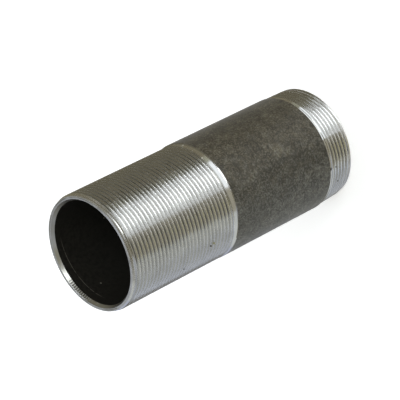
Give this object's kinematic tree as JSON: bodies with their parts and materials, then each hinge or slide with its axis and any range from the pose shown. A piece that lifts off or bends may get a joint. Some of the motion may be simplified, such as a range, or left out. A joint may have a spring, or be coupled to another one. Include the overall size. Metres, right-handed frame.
{
  "type": "long thread pipe nipple",
  "caption": "Steel pipe nipple, open right through, with a long parallel thread on one end, a short taper thread on the other and plain dark pipe between them.",
  "frame": {"origin": "centre of the face of the short-thread end, which the nipple stands on", "axes": "+Z along the pipe's axis, up towards the long-thread end; X and Y are alike, because the part is round"},
  "size_m": [0.0603, 0.0602, 0.15],
  "materials": {
    "steel": "bare machined steel on the threads and ends, dark mill scale on the plain pipe between them"
  },
  "bodies": {
    "root": {"pipe_nipple": "steel"}
  },
  "joints": []
}
